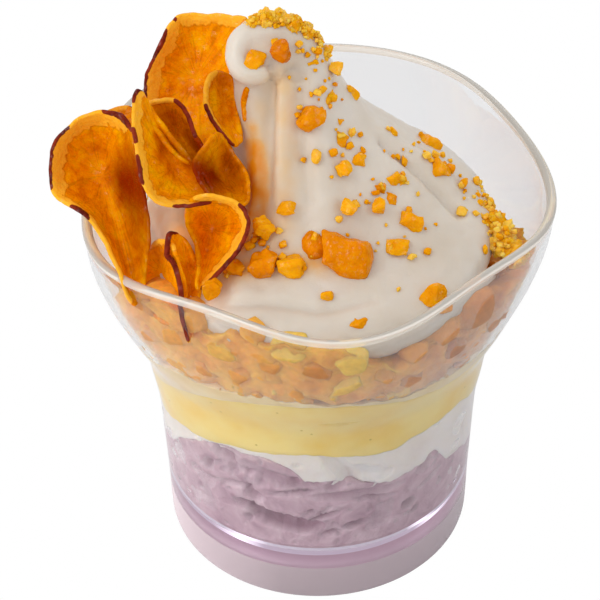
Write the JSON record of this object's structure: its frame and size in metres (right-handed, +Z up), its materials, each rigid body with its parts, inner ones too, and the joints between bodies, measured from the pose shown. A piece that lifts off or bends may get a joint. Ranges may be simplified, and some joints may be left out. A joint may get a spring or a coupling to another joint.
{
  "type": "sweet potato parfait",
  "caption": "Layered sweet potato parfait in a clear bell-shaped cup, topped with soft serve, curled sweet potato chips and candied pieces.",
  "frame": {"origin": "bottom centre of the bounding box, on the resting plane under the foot", "axes": "+Z up along the cup's axis, X across the front, Y away from the viewer"},
  "size_m": [0.097, 0.0912, 0.1221],
  "materials": {
    "clear_plastic": "clear, smooth, glossy",
    "purple_cream": "rough mashed purple sweet potato cream",
    "white_cream": "soft satin whipped cream",
    "yellow_cream": "smooth satin custard",
    "cake_crumbs": "rough crumbly cake",
    "soft_serve": "smooth, slightly wet",
    "sweet_potato_chip": "fried, lightly glossy",
    "candied_sweet_potato": "sugary, glossy"
  },
  "bodies": {
    "root": {"cup": "clear_plastic", "chip_back": "sweet_potato_chip", "chip_left": "sweet_potato_chip", "chip_behind": "sweet_potato_chip", "chip_front": "sweet_potato_chip", "chip_curl": "sweet_potato_chip", "chip_fold": "sweet_potato_chip", "chip_inner": "sweet_potato_chip", "chip_slim": "sweet_potato_chip", "chip_sliver": "sweet_potato_chip", "chip_low_left": "sweet_potato_chip", "chip_low_right": "sweet_potato_chip", "candied_tip": "candied_sweet_potato", "candied_crest": "candied_sweet_potato", "candied_ridge": "candied_sweet_potato", "candied_middle": "candied_sweet_potato", "candied_right_high": "candied_sweet_potato", "candied_right_low": "candied_sweet_potato", "candied_flank": "candied_sweet_potato", "candied_flank_low": "candied_sweet_potato", "candied_chunk": "candied_sweet_potato", "candied_chunk_side": "candied_sweet_potato", "candied_foot_a": "candied_sweet_potato", "candied_foot_b": "candied_sweet_potato", "candied_foot_c": "candied_sweet_potato", "candied_foot_d": "candied_sweet_potato", "candied_corner": "candied_sweet_potato", "candied_ledge": "candied_sweet_potato", "tip_crumble": "candied_sweet_potato", "side_crumble": "candied_sweet_potato", "purple_cream": "purple_cream", "white_cream": "white_cream", "yellow_cream": "yellow_cream", "upper_cream": "white_cream", "cake_crumbs": "cake_crumbs", "soft_serve": "soft_serve"}
  },
  "joints": []
}
